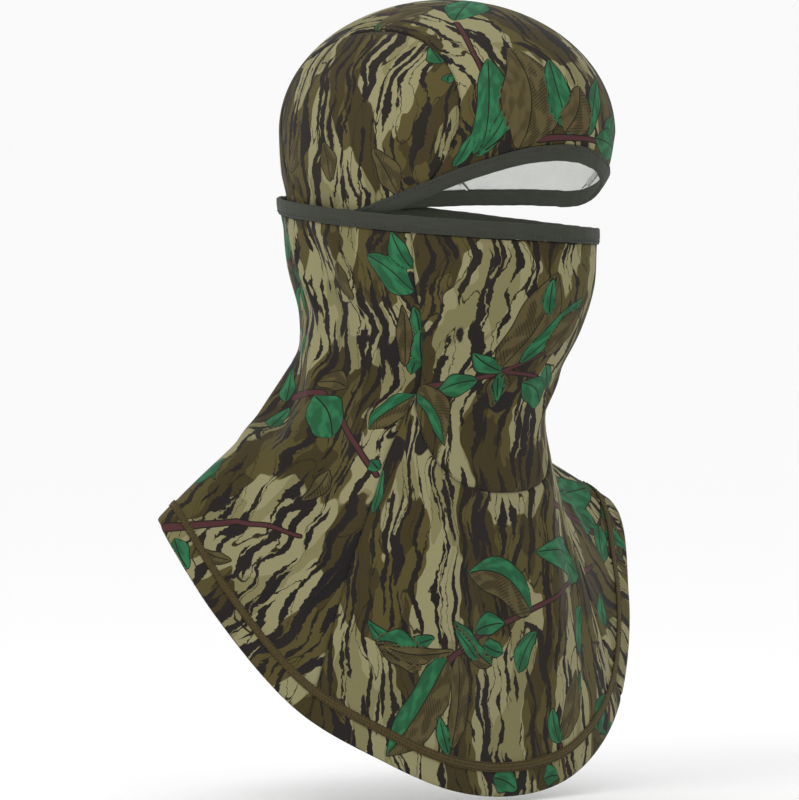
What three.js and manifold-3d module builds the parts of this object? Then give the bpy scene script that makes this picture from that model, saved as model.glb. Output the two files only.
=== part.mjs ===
// Two-part stretch-knit balaclava, laid out as it sits on a head: a three-panel skull cap inside,
// and a face mask with a neck tube and a long bib outside. The two parts are joined only at the
// centre of the back, so the eye slot lies between their two bound rims.
//
// Millimetres, +Z up. The face looks along -Y, the wearer's left is +X. The origin is the middle
// of the head at ear height. Azimuth is measured round the head from the face (0) over the
// wearer's left (+90) to the centre of the back (180).

import * as THREE from 'three';
import * as BufferGeometryUtils from 'three/addons/utils/BufferGeometryUtils.js';
import Module from 'manifold-3d';

// ---- Driving dimensions ------------------------------------------------------------------

const fabricWall = 1.5;          // knit with its brushed back
const gap = 0.3;                 // between neighbouring solids
const capClearance = 3.0;        // between the cap and the mask that laps over it

const crownHalfWidth = 78;       // widest ring of the cap
const crownHalfDepth = 98.8;
const crownRingHeight = 45;      // height of that ring above the ear line
const crownRise = 70;            // from that ring to the top of the head

const neckHeight = -105;         // the narrow ring under the chin
const frontDrop = 305;           // ear line to the bib's front hem
const backDrop = 182;            // ear line to the hem at the centre of the back
const shoulderReach = 169;       // half the bib's width at the shoulders

const frontFlare = 0.35;         // how soon the bib leaves the neck, in front and behind
const sideFlare = 0.08;          // and over the shoulders, where it falls nearly straight
const chestHollow = 4;           // the bib lies back a little below the chin

const bindingWidth = 8.7;        // folded elastic on both rims
const bindingThickness = 2.4;
const stitchWidth = 1.2;
const stitchThickness = 0.4;
const stitchInset = 0.07;        // from the binding's cut edge, as a share of its width

const browRise = 34;             // how far the cap's rim arches over the eyes
const browTurn = 15;             // degrees: the arch sits this far towards the wearer's right
const capRimHeight = -1.5;
const capLean = 6;               // the cap sits lower on the wearer's right by this much
const maskRimHeight = -3;
const maskRimRise = 12;          // the mask's rim climbs towards the back
const maskLean = 4.6;            // the mask is pulled higher on the wearer's right by this much

const crownSeamHalfWidth = 63;   // centre panel's half width at the brow
const crownSeamLevel = 20;       // the height at which the centre panel has that half width
const crownSeamLean = 10;        // degrees: its two seams lean in towards the top
const seamWidth = 5;             // overlocked allowance inside a seam
const seamThickness = 1.2;

const hemWidth = 19;             // cloth turned up inside the bib's edge
const hemThickness = 1.3;
const coverstitchWidth = 5.2;
const coverstitchThickness = 0.6;
const coverstitchInset = 13;     // hem edge to the lower needle row

const joinWidth = 34;            // bar of stitches that joins cap and mask at the back
const joinHeight = 4;
const joinRise = 0.6;            // its upper edge, as a share of the cap's binding
const joinClearance = 0.35;      // left on both sides of that bar

const degree = Math.PI / 180;

// ---- Form of the head --------------------------------------------------------------------

// Level rings of the layer that lies on the head: height, half width, half depth, and how far
// the ring's middle lies behind the ear line.
const headRings = [
  [neckHeight, 62, 76, 30],
  [-85, 57.5, 75, 18],
  [-62, 59, 76.5, 4],
  [-35, 66, 83.5, 2],
  [-5, 69, 88, 5],
  [12, 72.5, 91.5, 4],
  [24, 76.5, 95.5, 2],
  [crownRingHeight, crownHalfWidth, crownHalfDepth, 0],
];
const headShape = new THREE.CubicInterpolant(
  headRings.map((ring) => ring[0]), headRings.flatMap((ring) => ring.slice(1)), 3);

function headPoint(azimuth, height, offset) {
  const [halfWidth, halfDepth, behind] = headShape.evaluate(Math.min(height, crownRingHeight));
  const rise = Math.max(height - crownRingHeight, 0) / crownRise;
  const shrink = Math.sqrt(Math.max(1 - rise * rise, 0));
  return new THREE.Vector3(
    (halfWidth * shrink + offset) * Math.sin(azimuth),
    behind - (halfDepth * shrink + offset) * Math.cos(azimuth),
    height);
}

// Lower edge of the cap's binding: an arch over the eyes, then round the ears to the back.
function capRim(azimuth) {
  const fromBrow = azimuth + browTurn * degree;
  const arch = Math.cos(fromBrow) > 0 ? browRise * Math.cos(fromBrow) ** 2 : 0;
  return capRimHeight + arch + capLean * Math.sin(azimuth);
}

// Upper edge of the mask's binding: under the eyes and up to the back of the head.
function maskRim(azimuth) {
  const climb = ((1 - Math.cos(azimuth)) / 2) ** 1.6;
  return maskRimHeight + maskRimRise * climb - maskLean * Math.sin(azimuth);
}

// ---- Surfaces: each gives the outer face of the knit at (across, down) --------------------

// Cap: across is the azimuth, up runs from the binding's upper edge (0) to the crown (1).
function capSurface(azimuth, up) {
  const start = capRim(azimuth) + bindingWidth;
  const top = crownRingHeight + crownRise;
  const height = top - (top - start) * Math.cos(up * Math.PI / 2);
  return headPoint(azimuth, height, 0);
}

const maskOffset = fabricWall + capClearance;

// Hem of the bib, from the centre of the front to the centre of the back: ahead, aside, height.
const hemPoints = [
  [48, 0, -frontDrop],
  [45.5, 0.254 * shoulderReach, -frontDrop + 5.5],
  [35, 0.485 * shoulderReach, -frontDrop + 22],
  [13, 0.722 * shoulderReach, -frontDrop + 49],
  [-14, 0.914 * shoulderReach, -backDrop - 25],
  [-43, shoulderReach, -backDrop + 24],
  [-73, 0.8 * shoulderReach, -backDrop + 17],
  [-107, 0.49 * shoulderReach, -backDrop + 6],
  [-122, 0, -backDrop],
];
const leftHem = hemPoints.map(([ahead, aside, height]) => new THREE.Vector3(aside, -ahead, height));
const rightHem = leftHem.slice(1, -1).reverse().map((p) => new THREE.Vector3(-p.x, p.y, p.z));
const hemCurve = new THREE.CatmullRomCurve3([...leftHem, ...rightHem], true);

// One fall of cloth from the mask's binding over the neck to the hem, at one azimuth.
const falls = new Map();
function fallOfCloth(azimuth) {
  const key = azimuth.toFixed(6);
  if (falls.has(key)) return falls.get(key);
  const points = [];
  const start = maskRim(azimuth) - bindingWidth;
  for (let step = 0; step <= 4; step += 1) {
    points.push(headPoint(azimuth, start + (neckHeight - start) * step / 4, maskOffset));
  }
  const neck = points[4];
  const turn = ((azimuth / (2 * Math.PI)) % 1 + 1) % 1;
  const hem = hemCurve.getPoint(turn);
  const flare = frontFlare + (sideFlare - frontFlare) * Math.sin(azimuth) ** 2;
  for (let step = 1; step <= 4; step += 1) {
    const along = step / 4;
    const outward = along + flare * (Math.sin(along * Math.PI / 2) - along);
    const downward = along + flare * (1 - Math.cos(along * Math.PI / 2) - along);
    const hollow = chestHollow * Math.sin(along * Math.PI) * Math.max(Math.cos(azimuth), 0);
    points.push(new THREE.Vector3(
      neck.x + (hem.x - neck.x) * outward,
      neck.y + (hem.y - neck.y) * outward + hollow,
      neck.z + (hem.z - neck.z) * downward));
  }
  const curve = new THREE.CatmullRomCurve3(points);
  falls.set(key, curve);
  return curve;
}

// Mask: across is the azimuth, down runs from the binding (0) over the neck (0.5) to the hem (1).
function maskSurface(azimuth, down) {
  return fallOfCloth(azimuth).getPoint(Math.min(Math.max(down, 0), 1));
}

function capBand(azimuth, up) {
  return headPoint(azimuth, capRim(azimuth) + up * bindingWidth, 0);
}

function maskBand(azimuth, up) {
  return headPoint(azimuth, maskRim(azimuth) + (up - 1) * bindingWidth, maskOffset);
}

// A point at a depth under a surface, along the surface's own normal.
function under(surface, across, along, depth) {
  const step = 0.002;
  const here = surface(across, along);
  const side = surface(across + step, along).sub(surface(across - step, along));
  const low = Math.max(along - step, 0);
  const rise = surface(across, Math.min(low + 2 * step, 1)).sub(surface(across, low));
  const normal = side.cross(rise).normalize();
  if (normal.dot(new THREE.Vector3(here.x, here.y, 0)) < 0) normal.negate();
  return here.addScaledVector(normal, -depth);
}

// ---- Solids from surfaces ----------------------------------------------------------------

function signedVolume(geometry) {
  const position = geometry.attributes.position;
  const index = geometry.index;
  const [a, b, c] = [new THREE.Vector3(), new THREE.Vector3(), new THREE.Vector3()];
  let volume = 0;
  for (let i = 0; i < index.count; i += 3) {
    a.fromBufferAttribute(position, index.getX(i));
    b.fromBufferAttribute(position, index.getX(i + 1));
    c.fromBufferAttribute(position, index.getX(i + 2));
    volume += a.dot(b.cross(c)) / 6;
  }
  return volume;
}

// Moves every vertex of a primitive with place(x, y, z), and leaves one closed body.
function shaped(primitive, place) {
  const position = primitive.attributes.position;
  for (let i = 0; i < position.count; i += 1) {
    const moved = place(position.getX(i), position.getY(i), position.getZ(i), i);
    position.setXYZ(i, moved.x, moved.y, moved.z);
  }
  primitive.deleteAttribute('normal');
  primitive.deleteAttribute('uv');
  const geometry = BufferGeometryUtils.mergeVertices(primitive, 1e-3);
  if (signedVolume(geometry) < 0) {
    const index = geometry.index.array;
    for (let i = 0; i < index.length; i += 3) {
      const first = index[i];
      index[i] = index[i + 1];
      index[i + 1] = first;
    }
  }
  geometry.computeVertexNormals();
  return geometry;
}

// A sheet of cloth: place(i, j) in 0..1 gives (across, along) on the surface.
function sheet(surface, columns, rows, place, top = 0, thickness = fabricWall) {
  const slab = new THREE.BoxGeometry(1, 1, 1, columns, rows, 1);
  return shaped(slab, (x, y, z) => {
    const [across, along] = place(x + 0.5, y + 0.5);
    return under(surface, across, along, top + thickness * (0.5 - z));
  });
}

// A closed band round the head: each corner of its section is (along, depth).
function band(surface, section, segments) {
  const corners = [...section, section[0]];
  const lathe = new THREE.LatheGeometry(corners.map(([r, h]) => new THREE.Vector2(r + 10, h)), segments);
  return shaped(lathe, (x, y, z, i) => {
    const [along, depth] = corners[i % corners.length];
    const azimuth = 2 * Math.PI * Math.floor(i / corners.length) / segments;
    return under(surface, azimuth % (2 * Math.PI), along, depth);
  });
}

const ringSegments = 56;

function bindingBand(surface) {
  const proud = (bindingThickness - fabricWall) / 2;
  const back = fabricWall + proud;
  const edge = gap / bindingWidth;
  return band(surface, [
    [edge, back], [1 - edge, back], [1 - edge, -proud], [edge, -proud],
  ], ringSegments);
}

// Thread that holds a binding, on its outer face near the knit.
function bindingStitch(surface, from) {
  const proud = (bindingThickness - fabricWall) / 2 + gap;
  const width = stitchWidth / bindingWidth;
  return band(surface, [
    [from, -proud], [from + width, -proud],
    [from + width, -proud - stitchThickness], [from, -proud - stitchThickness],
  ], ringSegments);
}

// ---- Seam lines of the mask --------------------------------------------------------------

// Azimuth of the cheek seam, and below the chin of the bib seam, along the fall of the cloth.
const junctionDown = 0.45;
const chinDown = 0.63;
const sideSeam = new THREE.CubicInterpolant(
  [0, 0.25, junctionDown, 0.615, 0.75, 1],
  [62.5, 61, 51.5, 56, 60, 65].map((angle) => angle * degree), 1);

function seamAzimuth(down) {
  return sideSeam.evaluate(down)[0];
}

// The seam under the chin: a U from the right junction to the left one, across in -1..1.
function chinSeamDown(across) {
  return junctionDown + (chinDown - junctionDown) * (1 - Math.abs(across) ** 2.6);
}

const clothLength = frontDrop + 45;
const neckShare = 0.625;         // the neck's radius, as a share of the crown's
const shortestShare = 0.7;       // the shortest fall of cloth, as a share of the front one
const halfGapAngle = gap / 2 / (crownHalfWidth * neckShare);
const halfGapDown = gap / 2 / (clothLength * shortestShare);
const frontColumns = 16;
const sideColumns = 18;
const clothRows = 20;            // rows of facets down the mask, at the same levels in all panels
const faceRows = Math.round(junctionDown * clothRows);
const bibRows = clothRows - faceRows;

// ---- Colours -----------------------------------------------------------------------------

const print = { color: 0x6b6344, roughness: 0.85, metalness: 0 };
const elastic = { color: 0x3c3f36, roughness: 0.8, metalness: 0 };
const thread = { color: 0x6d5c2f, roughness: 0.75, metalness: 0 };
const lining = { color: 0xc6c8c6, roughness: 0.95, metalness: 0 };

const mask = new THREE.Group();
mask.name = 'stretch_balaclava';

function add(name, geometry, look) {
  const mesh = new THREE.Mesh(geometry, new THREE.MeshStandardMaterial(look));
  mesh.name = name;
  mask.add(mesh);
}

// ---- Cap: one dome of knit, cut along two lengthwise seams --------------------------------

const wasm = await Module();
wasm.setup();

function toManifold(geometry) {
  const vertProperties = new Float32Array(geometry.attributes.position.array);
  const triVerts = new Uint32Array(geometry.index.array);
  return new wasm.Manifold(new wasm.Mesh({ numProp: 3, vertProperties, triVerts }));
}

function toGeometry(solid) {
  const { vertProperties, triVerts } = solid.getMesh();
  const geometry = new THREE.BufferGeometry();
  geometry.setAttribute('position', new THREE.BufferAttribute(vertProperties.slice(), 3));
  geometry.setIndex(new THREE.BufferAttribute(triVerts.slice(), 1));
  return geometry;
}

// A dome between two depths under the cap's surface, open below.
function dome(top, thickness) {
  const domeRings = 10;
  const profile = [];
  for (let ring = 0; ring <= domeRings; ring += 1) profile.push([ring / domeRings, top]);
  for (let ring = domeRings; ring >= 0; ring -= 1) profile.push([ring / domeRings, top + thickness]);
  const corners = [...profile, profile[0]];
  const outline = corners.map(([up, depth]) => new THREE.Vector2(100 * (1 - up), 100 * up - depth));
  const lathe = new THREE.LatheGeometry(outline, ringSegments);
  const crown = headPoint(0, crownRingHeight + crownRise, 0);
  const geometry = shaped(lathe, (x, y, z, i) => {
    const [up, depth] = corners[i % corners.length];
    if (up === 1) return new THREE.Vector3(0, crown.y, crown.z - depth);
    const azimuth = 2 * Math.PI * Math.floor(i / corners.length) / ringSegments;
    return under(capSurface, azimuth % (2 * Math.PI), up, depth);
  });
  return toManifold(dropSlivers(geometry));
}

// Takes out the triangles that closed up at the pole.
function dropSlivers(geometry) {
  const old = geometry.index.array;
  const kept = [];
  for (let i = 0; i < old.length; i += 3) {
    const [a, b, c] = [old[i], old[i + 1], old[i + 2]];
    if (a !== b && b !== c && c !== a) kept.push(a, b, c);
  }
  geometry.setIndex(kept);
  return geometry;
}

// A block outside the crown seam on one side, whose inner face is shifted outwards by a distance.
function outsideSeam(side, shift) {
  const size = 400;
  const block = new THREE.BoxGeometry(size, size, size);
  const lean = crownSeamLean * degree;
  block.translate(size / 2 + shift, 0, 0);
  block.rotateY(-lean);
  block.translate(crownSeamHalfWidth, 0, crownSeamLevel);
  if (side < 0) block.scale(-1, 1, 1);
  return toManifold(shaped(block, (x, y, z) => new THREE.Vector3(x, y, z)));
}

const capShell = dome(0, fabricWall);
const allowanceShell = dome(fabricWall + 2 * gap, seamThickness);

const centre = capShell.subtract(outsideSeam(1, -gap / 2)).subtract(outsideSeam(-1, -gap / 2));
add('crown_centre_panel', toGeometry(centre), print);
for (const [side, word] of [[-1, 'right'], [1, 'left']]) {
  add(`crown_side_panel_${word}`, toGeometry(capShell.intersect(outsideSeam(side, gap / 2))), print);
  const strip = allowanceShell
    .intersect(outsideSeam(side, -seamWidth / 2))
    .subtract(outsideSeam(side, seamWidth / 2));
  add(`crown_seam_${word}`, toGeometry(strip), lining);
}
add('cap_binding', bindingBand(capBand), elastic);
add('cap_binding_stitch', bindingStitch(capBand, 1 - stitchInset - stitchWidth / bindingWidth), thread);

// ---- Mask: face panel, bib and the two side-and-back panels -------------------------------

add('mask_binding', bindingBand(maskBand), elastic);
add('mask_binding_stitch', bindingStitch(maskBand, stitchInset), thread);

add('face_panel', sheet(maskSurface, frontColumns, faceRows, (i, j) => {
  const across = 2 * i - 1;
  const down = (chinSeamDown(across) - halfGapDown) * j;
  return [across * (seamAzimuth(down) - halfGapAngle), down];
}), print);

add('front_bib_panel', sheet(maskSurface, frontColumns, bibRows, (i, j) => {
  const across = 2 * i - 1;
  const top = chinSeamDown(across) + halfGapDown;
  const down = top + (1 - top) * j;
  return [across * (seamAzimuth(down) - halfGapAngle), down];
}), print);

for (const [side, word] of [[-1, 'right'], [1, 'left']]) {
  add(`side_back_panel_${word}`, sheet(maskSurface, sideColumns, clothRows, (i, j) => {
    const down = j;
    const front = seamAzimuth(down) + halfGapAngle;
    return [side * (front + (Math.PI - halfGapAngle - front) * i), down];
  }), print);
}

// Overlocked allowances, each a narrow strip inside its seam. They stop above the turned hem.
const seamStart = 0.04;
const seamEnd = 0.8;
const cheekSeamEnd = junctionDown - 0.012;
const bibSeamStart = junctionDown + 0.02;
const chinSeamReach = 0.86;      // share of the face panel's half width
const allowanceTop = fabricWall + 2 * gap;
function allowance(steps, place, across) {
  const half = seamWidth / 2 / crownHalfWidth;
  return sheet(maskSurface, 2, steps, (i, j) => {
    const [azimuth, down] = place(j);
    if (across) return [azimuth, down + (i - 0.5) * seamWidth / clothLength];
    return [azimuth + (2 * i - 1) * half, down];
  }, allowanceTop, seamThickness);
}

for (const [side, word] of [[-1, 'right'], [1, 'left']]) {
  add(`cheek_seam_${word}`, allowance(faceRows, (j) => {
    const down = seamStart + (cheekSeamEnd - seamStart) * j;
    return [side * seamAzimuth(down), down];
  }, false), lining);
  add(`bib_seam_${word}`, allowance(bibRows, (j) => {
    const down = bibSeamStart + (seamEnd - bibSeamStart) * j;
    return [side * seamAzimuth(down), down];
  }, false), lining);
}
add('chin_seam', allowance(16, (j) => {
  const across = chinSeamReach * (2 * j - 1);
  const down = chinSeamDown(across);
  return [across * seamAzimuth(down), down];
}, true), lining);
add('centre_back_seam', allowance(14, (j) => [Math.PI, seamStart + (seamEnd - seamStart) * j], false), lining);

// Turned hem all round, and the coverstitch that holds it.
function hemDownAt(azimuth, fromEdge) {
  const curve = fallOfCloth(azimuth);
  const lower = curve.getPoint(1).distanceTo(curve.getPoint(0.9));
  return 1 - 0.1 * fromEdge / lower;
}

const layerGap = 1;
const foldInset = 0.5;
add('bib_hem_turnup', hemBand(foldInset, hemWidth, fabricWall + layerGap, hemThickness), print);
const stitchTop = -layerGap - coverstitchThickness;
add('hem_coverstitch',
  hemBand(coverstitchInset, coverstitchInset + coverstitchWidth, stitchTop, coverstitchThickness), thread);

function hemBand(low, high, top, thickness) {
  const corners = [[low, top], [high, top], [high, top + thickness], [low, top + thickness]];
  const closed = [...corners, corners[0]];
  const hemSegments = 72;
  const lathe = new THREE.LatheGeometry(closed.map(([r, h]) => new THREE.Vector2(r + 10, h)), hemSegments);
  return shaped(lathe, (x, y, z, i) => {
    const [fromEdge, depth] = closed[i % closed.length];
    const azimuth = (2 * Math.PI * Math.floor(i / closed.length) / hemSegments) % (2 * Math.PI);
    return under(maskSurface, azimuth, hemDownAt(azimuth, fromEdge), depth);
  });
}

// Bar of stitches between the cap's rim and the mask's rim at the centre of the back.
const joinTop = capRim(Math.PI) + joinRise * bindingWidth;
const joinThickness = capClearance - (bindingThickness - fabricWall) - 2 * joinClearance;
const joinDepth = (capClearance - joinThickness) / 2;
const joinTurn = 0.8;            // the ring of the head is flatter behind than at its depth
add('back_join', sheet((azimuth, up) => headPoint(azimuth, joinTop - joinHeight * (1 - up), capClearance),
  6, 1, (i, j) => {
    const half = joinWidth / 2 / (crownHalfDepth * joinTurn);
    return [Math.PI + (2 * i - 1) * half, j];
  }, joinDepth, joinThickness), thread);

export default mask;
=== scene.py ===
import math

import bpy
import numpy as np
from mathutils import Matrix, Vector


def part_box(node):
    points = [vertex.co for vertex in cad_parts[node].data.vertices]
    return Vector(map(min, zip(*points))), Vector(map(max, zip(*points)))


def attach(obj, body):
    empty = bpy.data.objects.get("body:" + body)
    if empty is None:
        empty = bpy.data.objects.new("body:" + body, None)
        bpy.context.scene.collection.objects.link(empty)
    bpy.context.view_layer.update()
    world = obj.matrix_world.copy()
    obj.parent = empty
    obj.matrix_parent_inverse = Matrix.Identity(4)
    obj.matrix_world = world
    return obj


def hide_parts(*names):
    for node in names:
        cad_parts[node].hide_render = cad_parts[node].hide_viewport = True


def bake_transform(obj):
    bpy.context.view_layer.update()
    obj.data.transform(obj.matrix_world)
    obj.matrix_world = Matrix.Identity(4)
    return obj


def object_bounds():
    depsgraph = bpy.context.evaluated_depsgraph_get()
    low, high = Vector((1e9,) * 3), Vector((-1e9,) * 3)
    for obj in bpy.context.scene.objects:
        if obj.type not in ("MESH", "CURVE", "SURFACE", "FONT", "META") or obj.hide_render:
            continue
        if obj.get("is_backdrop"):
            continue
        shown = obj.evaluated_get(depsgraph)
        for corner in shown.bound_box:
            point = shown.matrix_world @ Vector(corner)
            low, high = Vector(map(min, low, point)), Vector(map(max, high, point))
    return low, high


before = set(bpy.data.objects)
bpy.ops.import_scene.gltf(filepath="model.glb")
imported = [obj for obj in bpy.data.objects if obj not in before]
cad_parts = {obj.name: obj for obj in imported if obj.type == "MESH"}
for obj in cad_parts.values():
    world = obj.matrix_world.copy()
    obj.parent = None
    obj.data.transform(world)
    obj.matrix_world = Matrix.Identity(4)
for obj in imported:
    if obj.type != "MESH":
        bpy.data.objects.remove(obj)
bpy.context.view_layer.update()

# ---- Crown centre panel -------------------------------------------------------------------
# A long panel of printed stretch knit with a brushed white back. It runs from the brow over the
# top of the head to the nape, and takes its shape from the head that it is stretched over.

DEGREE = math.pi / 180
KNIT = 1.2                      # millimetres, printed face and brushed back together
BINDING = 8.7                   # height of the folded elastic on both rims
MASK_OFFSET = 4.5               # the mask lies this far outside the cap

# Level rings of the head: height, half width, half depth, distance behind the ear line.
HEAD_RINGS = np.array([
    [-105, 62, 76, 30], [-85, 57.5, 75, 18], [-62, 59, 76.5, 4], [-35, 66, 83.5, 2],
    [-5, 69, 88, 5], [12, 72.5, 91.5, 4], [24, 76.5, 95.5, 2], [45, 78, 98.8, 0],
], float)


def smooth_through(knots, values, at):
    """Cubic curve through values at knots, one column for each quantity."""
    knots, values = np.array(knots, float), np.array(values, float)
    slope = np.zeros_like(values)
    step = np.diff(knots)[:, None]
    secant = np.diff(values, axis=0) / step
    slope[1:-1] = (values[2:] - values[:-2]) / (knots[2:] - knots[:-2])[:, None]
    slope[0] = 1.5 * secant[0] - 0.5 * slope[1]
    slope[-1] = 1.5 * secant[-1] - 0.5 * slope[-2]
    at = np.clip(at, knots[0], knots[-1])
    k = np.clip(np.searchsorted(knots, at, side="right") - 1, 0, len(knots) - 2)
    width = (knots[k + 1] - knots[k])[..., None]
    t = ((at - knots[k])[..., None]) / width
    return (
        values[k] * (2 * t**3 - 3 * t**2 + 1)
        + values[k + 1] * (3 * t**2 - 2 * t**3)
        + slope[k] * width * (t**3 - 2 * t**2 + t)
        + slope[k + 1] * width * (t**3 - t**2)
    )


def head_point(azimuth, height, offset):
    """Point of the head at an azimuth from the face over the wearer's left, in millimetres."""
    azimuth, height = np.broadcast_arrays(azimuth, height)
    ring = smooth_through(HEAD_RINGS[:, 0], HEAD_RINGS[:, 1:], np.minimum(height, 45))
    rise = np.clip(height - 45, 0, 70) / 70
    shrink = np.sqrt(1 - rise**2)
    return np.stack([
        (ring[..., 0] * shrink + offset) * np.sin(azimuth),
        ring[..., 2] - (ring[..., 1] * shrink + offset) * np.cos(azimuth),
        height + 0.0 * azimuth,
    ], -1)


def cap_rim(azimuth):
    """Height of the cap's lower edge: an arch over the eyes, lower on the wearer's right."""
    facing = np.cos(azimuth + 15 * DEGREE)
    return -1.5 + 34 * np.where(facing > 0, facing, 0) ** 2 + 6 * np.sin(azimuth)


def smoothstep(low, high, value):
    t = np.clip((value - low) / (high - low), 0, 1)
    return t * t * (3 - 2 * t)


def arcs(grid):
    """Lengths along both directions of a grid of points, in millimetres."""
    rows = np.cumsum(np.linalg.norm(np.diff(grid, axis=0, prepend=grid[:1]), axis=2), axis=0)
    columns = np.cumsum(np.linalg.norm(np.diff(grid, axis=1, prepend=grid[:, :1]), axis=2), axis=1)
    return rows, columns


def outward(grid):
    """Unit normals of a grid, away from the head's axis."""
    normal = np.cross(np.gradient(grid, axis=0), np.gradient(grid, axis=1))
    normal /= np.maximum(np.linalg.norm(normal, axis=2, keepdims=True), 1e-9)
    axis = np.array([0, 5, 20.0])
    side = np.sum(normal * (grid - axis) * [1, 1, 0.3], axis=2).mean()
    return normal if side > 0 else -normal


def mesh_of(name, points, faces, smooth=True):
    mesh = bpy.data.meshes.new(name)
    mesh.from_pydata((np.asarray(points) / 1000).tolist(), [], [list(f) for f in faces])
    mesh.validate()
    mesh.polygons.foreach_set("use_smooth", [smooth] * len(mesh.polygons))
    made = bpy.data.objects.new(name, mesh)
    bpy.context.scene.collection.objects.link(made)
    return made


def grid_piece(name, grid, uv, wrap=False):
    """A piece from a grid of points (columns, rows), with its own map in metres of cloth."""
    columns, rows = grid.shape[:2]
    index = np.arange(columns * rows).reshape(columns, rows)
    following = np.roll(index, -1, axis=0) if wrap else index[1:]
    here = index if wrap else index[:-1]
    faces = np.stack([here[:, :-1], following[:, :-1], following[:, 1:], here[:, 1:]], -1)
    faces = faces.reshape(-1, 4)
    points = grid.reshape(-1, 3)
    a, b, c = (points[faces[:, k]] for k in (0, 1, 2))
    normal = np.cross(b - a, c - a)
    middle = (a + c) / 2 - np.array([0, 5, 20.0])
    if np.sum(normal * middle * [1, 1, 0.3]) < 0:
        faces = faces[:, ::-1]
    made = mesh_of(name, points, faces.tolist())
    flat = uv.reshape(-1, 2)
    layer = made.data.uv_layers.new(name="cloth")
    corners = np.empty(len(made.data.loops), np.int32)
    made.data.loops.foreach_get("vertex_index", corners)
    layer.data.foreach_set("uv", (flat[corners] / 1000).astype(np.float32).ravel())
    return made


def leaf_print(made, uv, leaves, twigs):
    """Stores where the print's leaves and twigs lie: distance to the edge, place in the leaf."""
    p = uv.reshape(-1, 2)
    edge = np.full(len(p), 60.0)
    along, across, kind = np.zeros(len(p)), np.zeros(len(p)), np.zeros(len(p))
    for u, v, angle, length, width, curl, tone in leaves:
        turn = angle * DEGREE
        dx, dy = p[:, 0] - u, p[:, 1] - v
        near = np.hypot(dx, dy) < length * 1.6 + 12
        t = (dx * math.cos(turn) + dy * math.sin(turn)) / length
        side = -dx * math.sin(turn) + dy * math.cos(turn)
        inside = np.clip(t, 0, 1)
        side = side - curl * np.sin(inside * math.pi * 0.9) * length * 0.3
        wavy = 1 + 0.13 * np.sin(inside * 9 + length) + 0.16 * np.sign(side)
        half = width / 2 * wavy * np.sin(math.pi * inside**0.8) ** 0.75
        beyond = np.maximum(t - 1, -t).clip(0) * length
        distance = np.where(beyond > 0, np.hypot(beyond, side), np.abs(side) - half)
        over = near & ((distance < 1.0) | (distance < edge))
        edge = np.where(over, distance, edge)
        along = np.where(over, t * length, along)
        across = np.where(over, side, across)
        kind = np.where(over, tone, kind)
    twig = np.full(len(p), 60.0)
    for path, thick in twigs:
        path = np.array(path, float)
        for k in range(len(path) - 1):
            d = path[k + 1] - path[k]
            s = np.clip(((p - path[k]) @ d) / max(d @ d, 1e-9), 0, 1)
            gap = np.linalg.norm(p - path[k] - s[:, None] * d, axis=1)
            taper = thick * (1 - 0.55 * (k + s) / (len(path) - 1))
            twig = np.minimum(twig, gap - taper)
    for name, values in (("leaf_edge", edge), ("leaf_along", along), ("leaf_across", across),
                         ("leaf_tone", kind), ("twig_edge", twig)):
        made.data.attributes.new(name, "FLOAT", "POINT").data.foreach_set(
            "value", values.astype(np.float32))


def sprigs(seed, low, high, spacing, placed=((), ()), free=None):
    """Leaves and twigs as listed, and sprigs scattered over the rest of the cloth."""
    rng = np.random.default_rng(seed)
    leaves, twigs = [], []
    for u in np.arange(low[0], high[0], spacing[0]):
        for v in np.arange(low[1], high[1], spacing[1]):
            start = np.array([u, v]) + rng.uniform(-0.3, 0.3, 2) * spacing
            heading = rng.choice([-1, 1]) * rng.uniform(15, 60) + rng.choice([0, 180])
            path = [start]
            for k in range(5):
                heading += rng.uniform(-24, 24)
                path.append(path[-1] + rng.uniform(8, 13) * np.array(
                    [math.cos(heading * DEGREE), math.sin(heading * DEGREE)]))
            grown = []
            for k in (1, 2, 3, 4, 5, 5):
                side = rng.choice([-1, 1])
                length = rng.uniform(17, 40)
                grown.append((
                    *path[k], heading + side * rng.uniform(20, 80), length,
                    rng.uniform(7, 15), rng.uniform(-0.7, 0.7), rng.choice([0, 0, 1, 2])))
            if free is None or free(*start):
                twigs.append((path, rng.uniform(1.1, 1.8)))
                leaves.extend(grown)
    return leaves + list(placed[0]), twigs + list(placed[1])


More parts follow.
